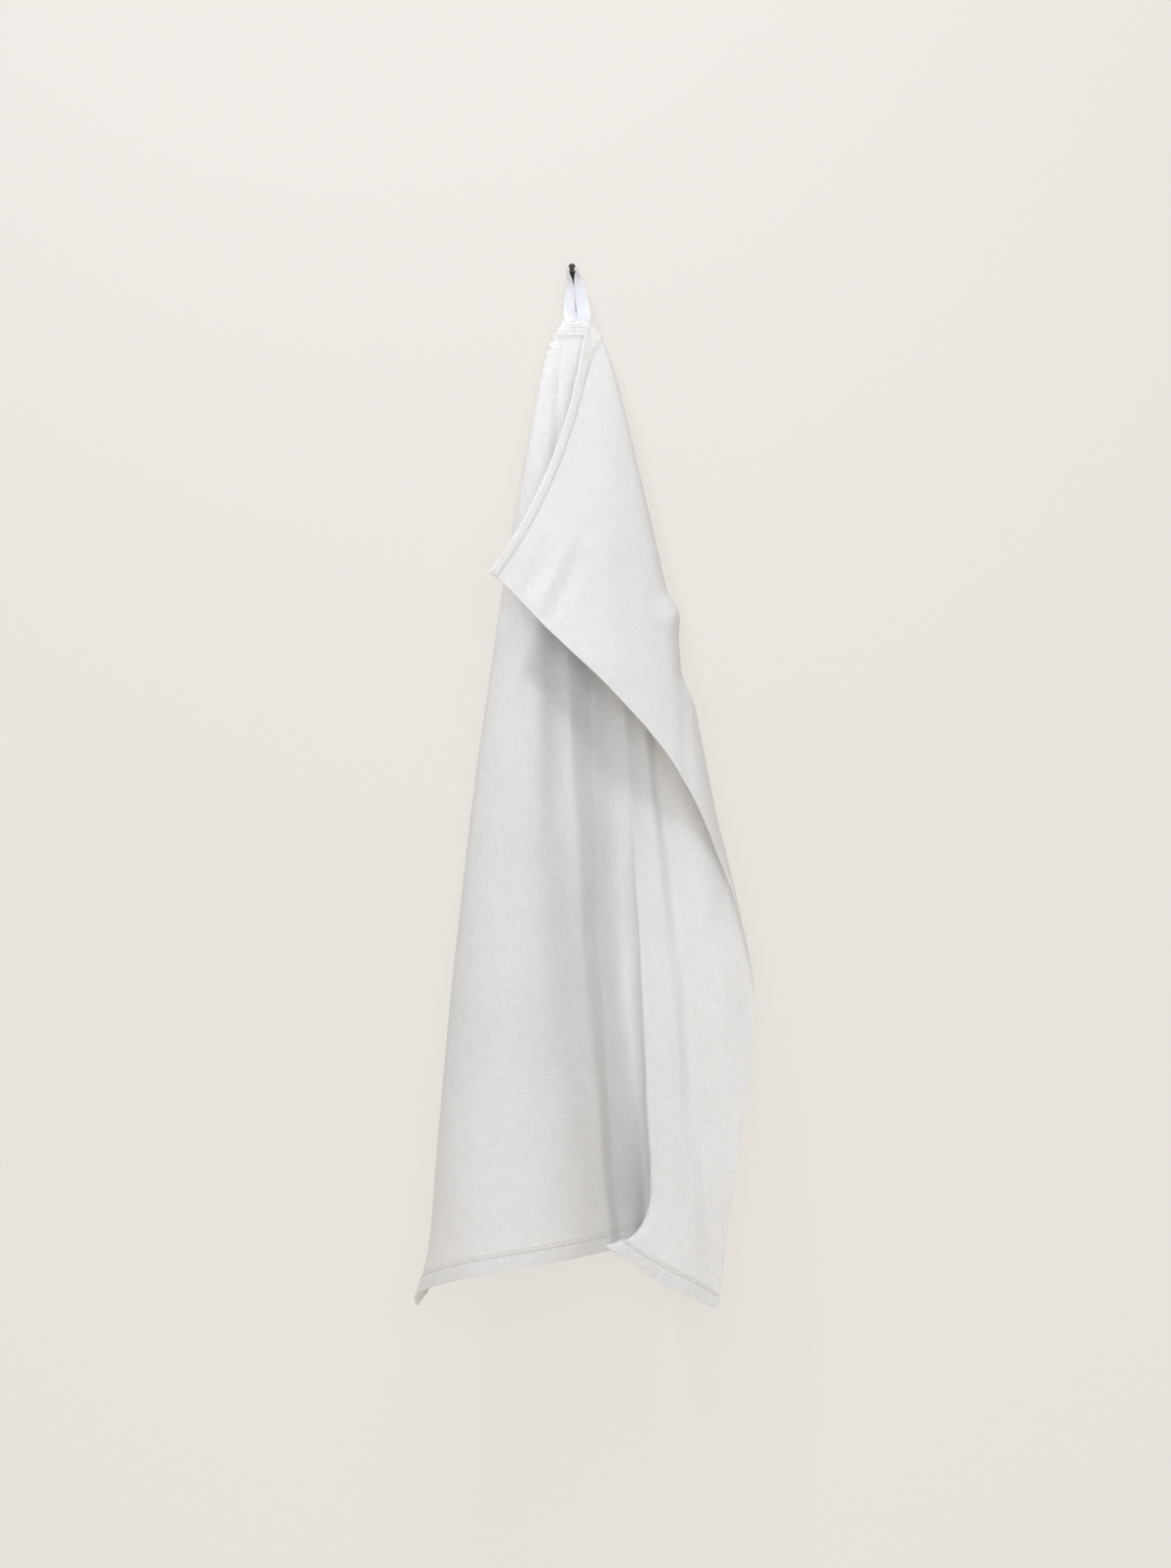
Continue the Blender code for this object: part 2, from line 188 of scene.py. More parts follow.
# Half the distance between the points that give the cloth's slope, the least length that is
# divided by, and the angle between faces from which an edge is sharp
SLOPE_STEP = 0.0004
LEAST_LENGTH = 1e-12
SHARP_ANGLE = math.radians(50.0)

# The tape's middle line seen from the peg's axis, in order along the tape. turn is the
# angle of its width in plan: 0 flat with its inner edge to the right, 90 edge-on.
TapeSection = namedtuple("TapeSection", "name x y z turn")
TAPE_SECTIONS = (
    TapeSection("left foot", 0.0012, -0.0222, -0.0525, 0.0),
    TapeSection("left sewn", 0.0010, -0.0222, -0.0430, 0.0),
    TapeSection("left hem", -0.0012, -0.0213, -0.0365, 16.0),
    TapeSection("left low", -0.0017, -0.0210, -0.0310, 33.0),
    TapeSection("left middle", -0.0016, -0.0205, -0.0215, 47.0),
    TapeSection("left high", -0.0019, -0.0200, -0.0095, 70.0),
    TapeSection("left shoulder", -0.0034, -0.0200, -0.0020, 84.0),
    TapeSection("arch left", -0.0026, -0.0200, 0.0019, 89.0),
    TapeSection("arch", 0.0000, -0.0200, 0.0032, 90.0),
    TapeSection("arch right", 0.0027, -0.0200, 0.0019, 91.0),
    TapeSection("right shoulder", 0.0040, -0.0200, -0.0014, 98.0),
    TapeSection("right high", 0.0050, -0.0200, -0.0066, 122.0),
    TapeSection("right middle", 0.0064, -0.0205, -0.0175, 148.0),
    TapeSection("right low", 0.0082, -0.0208, -0.0305, 168.0),
    TapeSection("right hem", 0.0088, -0.0210, -0.0375, 178.0),
    TapeSection("right sewn", 0.0078, -0.0209, -0.0430, 180.0),
    TapeSection("right foot", 0.0076, -0.0209, -0.0525, 180.0),
)
PEG_Z = 0.0162
TAPE_STEPS = 260
TAPE_COLUMNS = 14
TAPE_EDGE_THINNING = 0.35
TAPE_EDGE_POWER = 12

# Camera as the photograph was taken: level, straight on, far back
CAMERA_X = 0.0103
CAMERA_Y = -2.600
CAMERA_Z = -0.3757
VIEW_HIGH = 1.1779
VIEW_DISTANCE = 2.550

# Studio: wall and floor sizes, with the wall just behind the hook's plate
WALL_HALF_WIDE = 2.2
WALL_TOP = 1.6
WALL_Y = 0.0015
FLOOR_Z = -1.45
FLOOR_DEEP = 4.6


class TowelSizes(bpy.types.PropertyGroup):
    """Sizes of the towel and its loop."""

    width: FloatProperty(
        name="Width", description="Width of the hemmed towel", default=0.500, unit="LENGTH")
    length: FloatProperty(
        name="Length", description="Length of the hemmed towel", default=0.700, unit="LENGTH")
    cloth_thick: FloatProperty(
        name="Cloth thickness", description="Thickness of the linen", default=0.0008, unit="LENGTH")
    hem_thick: FloatProperty(
        name="Hem thickness", description="Thickness of the turned hem", default=0.0017, unit="LENGTH")
    tape_wide: FloatProperty(
        name="Tape width", description="Width of the loop's tape", default=0.0104, unit="LENGTH")
    tape_thick: FloatProperty(
        name="Tape thickness", description="Thickness of the loop's tape", default=0.0008, unit="LENGTH")
    thread_pitch: FloatProperty(
        name="Thread pitch", description="Distance between threads as drawn", default=0.0015, unit="LENGTH")
    stitch_long: FloatProperty(
        name="Stitch length", description="Length of one hem stitch", default=0.0030, unit="LENGTH")
    stitch_gap: FloatProperty(
        name="Stitch gap", description="Gap between two hem stitches", default=0.0007, unit="LENGTH")
    stitch_thick: FloatProperty(
        name="Stitch thickness", description="Thickness of the sewing thread", default=0.00046,
        unit="LENGTH")


class TowelColours(bpy.types.PropertyGroup):
    """Colours as sRGB hex values."""

    linen_warp: StringProperty(
        name="Linen warp", description="Colour of the linen's lengthwise threads", default="E9E9EA")
    linen_weft: StringProperty(
        name="Linen weft", description="Colour of the linen's crosswise threads", default="E1E1E1")
    linen_slub: StringProperty(
        name="Linen slub", description="Colour of the thicker, darker threads", default="CFCECB")
    # Painted shade: this colour darkens the sewn lines' grooves and the step beside each hem's turned-in
    # end
    seam_painted_shade: StringProperty(
        name="Linen seam", description="Colour of the linen in the hems' sewn lines", default="B9B5AD")
    tape: StringProperty(
        name="Tape", description="Colour of the bleached cotton tape", default="E2E4EB")
    thread: StringProperty(
        name="Sewing thread", description="Colour of the hem stitches", default="F0EFEC")
    iron: StringProperty(
        name="Iron", description="Colour of the hook's paint", default="2C2927")
    iron_rubbed: StringProperty(
        name="Iron rubbed", description="Colour of the paint where it is rubbed", default="46403B")
    light: StringProperty(
        name="Soft light", description="Colour of the soft lights", default="F7FAFF")
    wall: StringProperty(
        name="Wall", description="Colour of the backdrop", default="6F6D6B")
    wall_glow: StringProperty(
        name="Wall glow", description="Colour of the backdrop's own light", default="EDE8E2")
    sky_high: StringProperty(
        name="Light above", description="Colour of the room light from above", default="FBFCFF")
    sky_low: StringProperty(
        name="Light below", description="Colour of the room light from below", default="FFE2B8")
    floor: StringProperty(
        name="Floor", description="Colour of the floor", default="EBE8E3")


class TowelLight(bpy.types.PropertyGroup):
    """Studio light."""

    key_watts: FloatProperty(
        name="Key power", description="Power of the soft key light", default=5.2, unit="POWER")
    key_place: FloatVectorProperty(
        name="Key place", description="Where the soft key light hangs", size=3,
        default=(-0.34, -0.74, 0.72), subtype="TRANSLATION")
    key_size: FloatProperty(
        name="Key size", description="Side of the soft key light", default=0.12, unit="LENGTH")
    top_watts: FloatProperty(
        name="Top power", description="Power of the wide light above", default=4.4, unit="POWER")
    top_place: FloatVectorProperty(
        name="Top place", description="Where the wide light above hangs", size=3,
        default=(0.05, -0.85, 0.66), subtype="TRANSLATION")
    top_size: FloatProperty(
        name="Top size", description="Side of the wide light above", default=0.90, unit="LENGTH")
    front_watts: FloatProperty(
        name="Front power", description="Power of the wide front light", default=18.8, unit="POWER")
    front_place: FloatVectorProperty(
        name="Front place", description="Where the wide front light stands", size=3,
        default=(0.12, -2.35, -0.10), subtype="TRANSLATION")
    front_size: FloatProperty(
        name="Front size", description="Side of the wide front light", default=1.10, unit="LENGTH")
    room: FloatProperty(
        name="Room light", description="Strength of the even light at eye level", default=0.33)
    room_lift: FloatProperty(
        name="Room light lift", description="How much more of it comes from above", default=0.70)
    wall_glow: FloatProperty(
        name="Wall glow", description="Strength of the backdrop's own light", default=0.78)


def linear(hex_text):
    """Linear colour of an sRGB hex value, with alpha 1."""
    channels = [int(hex_text[i:i + 2], 16) / 255.0 for i in (0, 2, 4)]
    return [c / 12.92 if c <= 0.04045 else ((c + 0.055) / 1.055) ** 2.4 for c in channels] + [1.0]


def add_node(tree, kind, inputs=None, **settings):
    """Add a node, set its properties and fill its inputs with values or links."""
    node = tree.nodes.new(kind)
    for name, value in settings.items():
        setattr(node, name, value)
    for key, value in (inputs or {}).items():
        if isinstance(value, bpy.types.NodeSocket):
            tree.links.new(value, node.inputs[key])
        else:
            node.inputs[key].default_value = value
    return node


def worked_out(tree, operation, *inputs):
    """Result of a Math node on values or sockets."""
    node = add_node(tree, "ShaderNodeMath", dict(enumerate(inputs)), operation=operation)
    return node.outputs[0]


def scaled(tree, value, factor, plus=0.0):
    """Value times a factor plus a value or socket."""
    return worked_out(tree, "MULTIPLY_ADD", value, factor, plus)


def new_finish(name, roughness, metallic=0.0, ior=1.5):
    """A new material with its node tree and its Principled shader."""
    material = bpy.data.materials.new(name)
    material.use_nodes = True
    tree = material.node_tree
    shader = tree.nodes["Principled BSDF"]
    shader.inputs["Roughness"].default_value = roughness
    shader.inputs["Metallic"].default_value = metallic
    shader.inputs["IOR"].default_value = ior
    return material, tree, shader


def cut_place(tree):
    """The point's u and v in the flat cloth, in metres, as two sockets."""
    place = add_node(tree, "ShaderNodeAttribute", attribute_name="cut", attribute_type="GEOMETRY")
    parts = add_node(tree, "ShaderNodeSeparateXYZ", {"Vector": place.outputs["Vector"]})
    return place.outputs["Vector"], parts.outputs["X"], parts.outputs["Y"]


def thread_rows(tree, place, pitch):
    """Round backs of threads a pitch apart, as heights from 0 to 1."""
    turns = worked_out(tree, "MULTIPLY", place, math.pi / pitch)
    return worked_out(tree, "ABSOLUTE", worked_out(tree, "SINE", turns))


def plain_weave(tree, u, v, pitch):
    """Heights of the warp and the weft where each passes over the other in turn."""
    heights = []
    for across, along, start in ((u, v, 0.0), (v, u, 1.0)):
        number = worked_out(tree, "FLOOR", worked_out(tree, "DIVIDE", across, pitch))
        phase = worked_out(tree, "ADD", worked_out(tree, "DIVIDE", along, pitch), number)
        wave = worked_out(tree, "SINE", scaled(tree, phase, math.pi, start * math.pi))
        lift = scaled(tree, wave, 0.5, 0.5)
        heights.append(worked_out(tree, "MULTIPLY", lift, thread_rows(tree, across, pitch)))
    return heights


def stretched_noise(tree, vector, across, down, detail=2.0, roughness=0.5):
    """Noise whose grain has a size across the cloth and another down it, in mm."""
    stretch = (1.0 / (across * MM), 1.0 / (down * MM), 1.0)
    place = add_node(tree, "ShaderNodeVectorMath", {0: vector, 1: stretch}, operation="MULTIPLY")
    noise = add_node(tree, "ShaderNodeTexNoise",
                     {"Vector": place.outputs[0], "Scale": 1.0, "Detail": detail,
                      "Roughness": roughness}, noise_dimensions="2D")
    return noise.outputs["Fac"]


def banded(tree, value, low, high):
    """Value stretched so that low becomes 0 and high becomes 1, and clamped."""
    node = add_node(tree, "ShaderNodeMapRange",
                    {"Value": value, "From Min": low, "From Max": high}, clamp=True)
    return node.outputs["Result"]


def blend_colours(tree, share, first, second):
    """Mix of two colours or colour sockets."""
    node = add_node(tree, "ShaderNodeMix", data_type="RGBA")
    for key, value in ((0, share), (6, first), (7, second)):
        if isinstance(value, bpy.types.NodeSocket):
            tree.links.new(value, node.inputs[key])
        else:
            node.inputs[key].default_value = value
    return node.outputs[2]


def near_line(tree, value, line, half):
    """1 where a value lies on a line, falling to 0 at the distance half beside it."""
    away = worked_out(tree, "ABSOLUTE", worked_out(tree, "SUBTRACT", value, line))
    return banded(tree, away, half, 0.2 * half)


def show_relief(tree, shader, height, strength, deep):
    """Let a height show as bumps, where a height of 1 is a depth in metres."""
    bump = add_node(tree, "ShaderNodeBump",
                    {"Strength": strength, "Distance": deep, "Height": height})
    tree.links.new(bump.outputs["Normal"], shader.inputs["Normal"])


def linen_washed_plain_weave(colours, sizes):
    """Washed linen in plain weave.

    To the eye: matte off-white with a faint grid, short slubs both ways, soft streaks
    down its length and a sewn line along each hem, darkened by painted shade in its groove
    and beside the hem's turned-in end, with a little light passing through.
    Real threads lie 0.6 mm apart, too fine for the picture, so they are drawn at the pitch
    given in the sizes.
    """
    material, tree, shader = new_finish("linen_washed_plain_weave", 0.88, ior=1.53)
    vector, u, v = cut_place(tree)
    warp, weft = plain_weave(tree, u, v, sizes.thread_pitch)
    warp_slub = stretched_noise(tree, vector, 1.0, 15.0)
    weft_slub = stretched_noise(tree, vector, 12.0, 1.0)
    streaks = stretched_noise(tree, vector, 3.0, 110.0)
    mottle = stretched_noise(tree, vector, 7.0, 8.0, detail=3.0, roughness=0.6)
    grain = stretched_noise(tree, vector, 1.2, 1.2, roughness=0.7)
    slubs = worked_out(tree, "MAXIMUM", banded(tree, warp_slub, 0.54, 0.80),
                       banded(tree, weft_slub, 0.54, 0.80))
    colour = blend_colours(tree, warp, linear(colours.linen_weft), linear(colours.linen_warp))
    for share, weight in ((slubs, 0.50), (banded(tree, grain, 0.42, 0.72), 0.42),
                          (banded(tree, mottle, 0.40, 0.75), 0.12),
                          (banded(tree, streaks, 0.45, 0.75), 0.08)):
        colour = blend_colours(tree, scaled(tree, share, weight), colour, linear(colours.linen_slub))
    edge = worked_out(tree, "MINIMUM", v, worked_out(tree, "SUBTRACT", sizes.length, v))
    sewn = near_line(tree, edge, STITCH_LINE, 1.0 * MM)
    turned_in_painted_shade = near_line(tree, edge, TURNED_LINE, 0.9 * MM)
    # Painted shade: the cloth is darkened along the sewn line's groove and beside the turned-in end; the
    # sewn line also sinks as a bump
    for share, weight in ((turned_in_painted_shade, 0.34), (sewn, 0.36)):
        colour = blend_colours(tree, scaled(tree, share, weight), colour, linear(colours.seam_painted_shade))
    tree.links.new(colour, shader.inputs["Base Color"])
    height = scaled(tree, slubs, 0.7, worked_out(tree, "MAXIMUM", warp, weft))
    height = scaled(tree, grain, 1.1, height)
    height = scaled(tree, sewn, -2.0, height)
    show_relief(tree, shader, height, 0.6, 0.20 * MM)
    shader.inputs["Subsurface Weight"].default_value = 0.60
    shader.inputs["Subsurface Radius"].default_value = (1.0, 0.92, 0.84)
    shader.inputs["Subsurface Scale"].default_value = 2.5 * MM
    shader.inputs["Sheen Weight"].default_value = 0.12
    shader.inputs["Sheen Roughness"].default_value = 0.45
    shader.inputs["Specular IOR Level"].default_value = 0.20
    return material


def cotton_tape_woven(colours):
    """Bleached cotton tape, woven narrow.

    To the eye: brighter and cooler than the linen, with fine ribs across its length, their hollows darkened
    with painted shade.
    The ribs are drawn 0.8 mm apart, twice as far as they are, so that they show.
    """
    material, tree, shader = new_finish("cotton_tape_woven", 0.80, ior=1.53)
    vector, u, v = cut_place(tree)
    ribs = thread_rows(tree, v, 0.8 * MM)
    threads = thread_rows(tree, u, 0.65 * MM)
    fuzz = stretched_noise(tree, vector, 0.7, 0.7, roughness=0.7)
    height = scaled(tree, fuzz, 0.8, scaled(tree, threads, 0.5, ribs))
    # Painted shade: the low parts of the ribbed, fuzzy surface are darkened towards the linen's weft colour
    low = scaled(tree, banded(tree, height, 1.9, 0.6), 0.22)
    tree.links.new(blend_colours(tree, low, linear(colours.tape), linear(colours.linen_weft)),
                   shader.inputs["Base Color"])
    show_relief(tree, shader, height, 0.5, 0.12 * MM)
    shader.inputs["Sheen Weight"].default_value = 0.15
    shader.inputs["Specular IOR Level"].default_value = 0.3
    return material


def cotton_thread_spun(colours):
    """Spun cotton sewing thread: matte, a little lighter than the linen, with a fine twist."""
    material, tree, shader = new_finish("cotton_thread_spun", 0.75, ior=1.53)
    place = add_node(tree, "ShaderNodeTexCoord")
    twist = add_node(tree, "ShaderNodeTexNoise",
                     {"Vector": place.outputs["Object"], "Scale": 1.0 / (0.9 * MM), "Detail": 2.0})
    share = banded(tree, twist.outputs["Fac"], 0.4, 0.7)
    tree.links.new(blend_colours(tree, share, linear(colours.thread), linear(colours.linen_weft)),
                   shader.inputs["Base Color"])
    show_relief(tree, shader, twist.outputs["Fac"], 0.4, 0.05 * MM)
    return material


def iron_painted_satin(colours):
    """Iron with satin black paint: dark, a soft gloss, a little uneven and rubbed in places."""
    material, tree, shader = new_finish("iron_painted_satin", 0.42, ior=1.5)
    place = add_node(tree, "ShaderNodeTexCoord")
    runs = add_node(tree, "ShaderNodeTexNoise",
                    {"Vector": place.outputs["Object"], "Scale": 1.0 / (3.0 * MM), "Detail": 4.0})
    wear = banded(tree, runs.outputs["Fac"], 0.55, 0.85)
    tree.links.new(blend_colours(tree, wear, linear(colours.iron), linear(colours.iron_rubbed)),
                   shader.inputs["Base Color"])
    gloss = add_node(tree, "ShaderNodeMapRange", {"Value": runs.outputs["Fac"], "From Min": 0.3,
                                                  "From Max": 0.7, "To Min": 0.36, "To Max": 0.52})
    tree.links.new(gloss.outputs["Result"], shader.inputs["Roughness"])
    show_relief(tree, shader, runs.outputs["Fac"], 0.3, 0.08 * MM)
    return material


def plaster_painted_matte(colours, glow):
    """Matte wall paint on smooth plaster, seen from the room only: from behind it is clear.

    To the eye: an even warm off-white. Part of its brightness is its own, as on a lit
    backdrop, which keeps the towel's shadow on it faint.
    """
    material, tree, shader = new_finish("plaster_painted_matte", 0.95)
    shader.inputs["Base Color"].default_value = linear(colours.wall)
    shader.inputs["Specular IOR Level"].default_value = 0.1
    shader.inputs["Emission Color"].default_value = linear(colours.wall_glow)
    shader.inputs["Emission Strength"].default_value = glow
    side = add_node(tree, "ShaderNodeNewGeometry")
    clear = add_node(tree, "ShaderNodeBsdfTransparent")
    one_sided = add_node(tree, "ShaderNodeMixShader",
                         {0: side.outputs["Backfacing"], 1: shader.outputs[0], 2: clear.outputs[0]})
    tree.links.new(one_sided.outputs[0], tree.nodes["Material Output"].inputs["Surface"])
    return material


def screed_sealed_pale(colours):
    """Sealed screed. To the eye: a plain, matte, pale floor that throws soft light back up."""
    material, _, shader = new_finish("screed_sealed_pale", 0.9)
    shader.inputs["Base Color"].default_value = linear(colours.floor)
    return material


def spline(knots, rows, at):
    """Natural cubic spline through rows of values, one row per knot."""
    count = len(knots)
    steps = np.diff(knots)
    matrix = np.eye(count)
    right = np.zeros_like(rows)
    for i in range(1, count - 1):
        matrix[i, i - 1:i + 2] = steps[i - 1], 2.0 * (steps[i - 1] + steps[i]), steps[i]
        slope_after = (rows[i + 1] - rows[i]) / steps[i]
        slope_before = (rows[i] - rows[i - 1]) / steps[i - 1]
        right[i] = 6.0 * (slope_after - slope_before)
    bend = np.linalg.solve(matrix, right)
    i = np.clip(np.searchsorted(knots, at) - 1, 0, count - 2)
    step = steps[i][..., None]
    after = (at - knots[i])[..., None]
    before = (knots[i + 1] - at)[..., None]
    curved = (bend[i] * before ** 3 + bend[i + 1] * after ** 3) / (6.0 * step)
    start = (rows[i] / step - bend[i] * step / 6.0) * before
    end = (rows[i + 1] / step - bend[i + 1] * step / 6.0) * after
    return curved + start + end


def smooth_step(value, low, high):
    """0 below low, 1 above high and a soft rise between."""
    share = np.clip((value - low) / (high - low), 0.0, 1.0)
    return share * share * (3.0 - 2.0 * share)


class HangingCloth:
    """The towel as it hangs: where each point (u, v) of the flat cloth lies."""

    def __init__(self, sizes):
        self.width = sizes.width
        self.length = sizes.length
        self.thick = sizes.cloth_thick
        self.hem_thick = sizes.hem_thick
        self.angles, self.rows = self.fold_rows()
        self.waves = self.seeded_waves()

    def spoke_of(self, u, v):
        """Foot of a point's spoke on the held hem, its distance down it and its angle."""
        across = u - self.width / 2.0
        squeeze = (1.0 + np.abs(across / HELD_HALF) ** HELD_SHARPNESS) ** (1.0 / HELD_SHARPNESS)
        foot = across / squeeze
        return foot, np.hypot(across - foot, v), np.arctan2(across - foot, v)

    def foot_offset(self, foot, distance):
        """Plan offset of a spoke's foot; the held strip turns edge-on further down."""
        turn = HELD_TURN * np.clip(distance / self.length, 0.0, 1.0) ** HELD_TURN_POWER
        return foot * np.cos(turn), foot * np.sin(turn)

    def spoke_shape(self, distance, reach):
        """Weights of bow, ring and flare at a distance down a spoke, and their slopes."""
        part = distance / reach
        fade = np.exp(-distance / RING_REACH)
        flare = np.clip((distance - reach + FLARE_REACH) / FLARE_REACH, 0.0, None)
        weights = (4.0 * part * (1.0 - part), 1.0 - fade, flare ** 2)
        slopes = (4.0 * (1.0 - 2.0 * part) / reach, fade / RING_REACH, 2.0 * flare / FLARE_REACH)
        return weights, slopes

    def fold_rows(self):
        """Angle of each fold and its values: lean, bow, ring, flare and reach."""
        angles = []
        rows = []
        for fold in FOLDS:
            foot, reach, angle = self.spoke_of(np.float64(fold.u), np.float64(fold.v))
            foot_x, foot_y = self.foot_offset(foot, reach)
            lean_x = (fold.x - foot_x - fold.ring_x) / reach
            lean_y = (fold.y - foot_y - fold.ring_y) / reach
            angles.append(angle)
            rows.append((lean_x, lean_y, fold.bow_x, fold.bow_y, fold.ring_x, fold.ring_y,
                         fold.flare_x, fold.flare_y, reach))
        return np.array(angles), np.array(rows)

    def middle(self, u, v):
        """Where the middle of the cloth's thickness hangs."""
        foot, distance, angle = self.spoke_of(u, v)
        values = spline(self.angles, self.rows, angle)
        lean = values[..., 0:2]
        bends = (values[..., 2:4], values[..., 4:6], values[..., 6:8])
        reach = values[..., 8]
        weights, _ = self.spoke_shape(distance, reach)
        plan = lean * distance[..., None]
        for bend, weight in zip(bends, weights):
            plan = plan + bend * weight[..., None]
        give = 1.0 + BIAS_GIVE * np.sin(2.0 * angle) ** 2
        drop = np.zeros_like(distance)
        for sample, share in zip(*np.polynomial.legendre.leggauss(LENGTH_SAMPLES)):
            _, slopes = self.spoke_shape(distance * (sample + 1.0) / 2.0, reach)
            slope = lean
            for bend, rate in zip(bends, slopes):
                slope = slope + bend * rate[..., None]
            steepness = np.maximum(give ** 2 - (slope ** 2).sum(axis=-1), LEAST_STEEPNESS)
            drop += share * np.sqrt(steepness)
        drop *= distance / 2.0
        foot_x, foot_y = self.foot_offset(foot, distance)
        return np.stack((HELD_X + foot_x + plan[..., 0], HELD_Y + foot_y + plan[..., 1],
                         HELD_Z - drop), axis=-1)

    def seeded_waves(self):
        """Long, low waves in all directions: wave numbers along u and v, phase and rise."""
        draw = np.random.default_rng(WAVE_SEED)
        waves = []
        for _ in range(WAVE_COUNT):
            long = WAVE_SHORTEST * (WAVE_LONGEST / WAVE_SHORTEST) ** draw.random()
            heading = draw.uniform(0.0, math.pi)
            number = 2.0 * math.pi / long
            rise = WAVE_RISE * long / WAVE_LONGEST * draw.uniform(0.6, 1.4)
            waves.append((number * math.cos(heading), number * math.sin(heading),
                          draw.uniform(0.0, 2.0 * math.pi), rise))
        return waves

    def relief(self, u, v):
        """How far the surface stands off its smooth folds, towards the cloth's right side."""
        _, distance, angle = self.spoke_of(u, v)
        open_layers = smooth_step(angle, CALM_BACK, CALM_BACK + CALM_BACK_SOFT)
        height = np.zeros_like(u)
        for number_u, number_v, phase, rise in self.waves:
            height += rise * np.sin(number_u * u + number_v * v + phase)
        for crease in CREASES:
            height += self.crease_height(crease, u, v)
        height *= smooth_step(distance, CALM_NEAR, CALM_FAR) * open_layers
        for edge in (v, self.length - v):
            near = np.exp(-((edge - STITCH_LINE) / PUCKER_REACH) ** 2)
            sway = PUCKER_SWAY * np.sin(u / (PUCKER_SWAY_PITCHES * PUCKER_PITCH))
            pucker = np.sin(2.0 * math.pi * u / PUCKER_PITCH + sway)
            fade = smooth_step(distance, PUCKER_NEAR, PUCKER_FAR) * open_layers
            height += PUCKER_RISE * near * pucker * fade
        return height

    def crease_height(self, crease, u, v):
        """Soft ridge or trough along a line, fading at its ends."""
        along_u = crease.u1 - crease.u0
        along_v = crease.v1 - crease.v0
        long = math.hypot(along_u, along_v)
        part = ((u - crease.u0) * along_u + (v - crease.v0) * along_v) / long ** 2
        side = ((u - crease.u0) * along_v - (v - crease.v0) * along_u) / long
        ends = smooth_step(part, *CREASE_GROWS) * (1.0 - smooth_step(part, *CREASE_FADES))
        return crease.rise * ends * np.exp(-(side / crease.wide) ** 2)

    def half_thickness(self, v):
        """Half the cloth's thickness at a distance down, with both hems."""
        places = [step.place for step in HEM_PROFILE]
        shares = [step.share for step in HEM_PROFILE]
        edge = np.minimum(v, self.length - v)
        share = np.interp(edge, places, shares)
        return (self.thick + (self.hem_thick - self.thick) * share) / 2.0

    def surface(self, u, v, side=0.0, off=0.0):
        """Point on the cloth's middle (side 0) or on a face (1 or -1), off metres beyond."""
        across = self.middle(u + SLOPE_STEP, v) - self.middle(u - SLOPE_STEP, v)
        down = self.middle(u, v + SLOPE_STEP) - self.middle(u, v - SLOPE_STEP)
        normal = np.cross(across, down)
        normal /= np.maximum(np.linalg.norm(normal, axis=-1, keepdims=True), LEAST_LENGTH)
        out = side * (self.half_thickness(v) + off) - self.relief(u, v)
        return self.middle(u, v) + normal * out[..., None]


def places_along(total, edge_places, count, crowding, from_middle):
    """Distances along one side: fixed places at both ends and a crowded run between."""
    ends = np.array(edge_places)
    inner = count - 2 * len(ends) + 1
    even = np.linspace(0.0, 1.0, inner + 2)[1:-1]
    if from_middle:
        centred = 2.0 * even - 1.0
        even = 0.5 + 0.5 * ((1.0 - crowding) * centred + crowding * centred * np.abs(centred))
    else:
        even = even ** crowding
    span = total - 2.0 * ends[-1]
    return np.concatenate((ends, ends[-1] + span * even, total - ends[::-1]))


def sheet_mesh(name, front, back, cut):
    """Closed sheet from the grids of its two faces, with the flat place of each point."""
    across, down = front.shape[:2]
    size = across * down
    index = np.arange(size).reshape(across, down)
    a, b, c, d = index[:-1, :-1], index[:-1, 1:], index[1:, 1:], index[1:, :-1]
    face = np.stack((a, b, c, d), axis=-1).reshape(-1, 4)
    ring = np.concatenate((index[0, :-1], index[:-1, -1], index[-1, :0:-1], index[:0:-1, 0]))
    after = np.roll(ring, -1)
    rim = np.stack((ring, ring + size, after + size, after), axis=-1)
    faces = np.concatenate((face, face[:, ::-1] + size, rim))
    mesh = bpy.data.meshes.new(name)
    points = np.concatenate((front.reshape(-1, 3), back.reshape(-1, 3)))
    mesh.from_pydata(points.tolist(), [], faces.tolist())
    flat = mesh.attributes.new("cut", "FLOAT_VECTOR", "POINT")
    places = np.concatenate((cut.reshape(-1, 3), cut.reshape(-1, 3)))
    flat.data.foreach_set("vector", places.astype(np.float32).ravel())
    mesh.shade_smooth()
    mesh.set_sharp_from_angle(angle=SHARP_ANGLE)
    return mesh


def put_in_scene(name, mesh, material):
    """Link a mesh as a piece that rides with the part."""
    mesh.materials.append(material)
    piece = bpy.data.objects.new(name, mesh)
    bpy.context.scene.collection.objects.link(piece)
    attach(piece, BODY)
    return piece


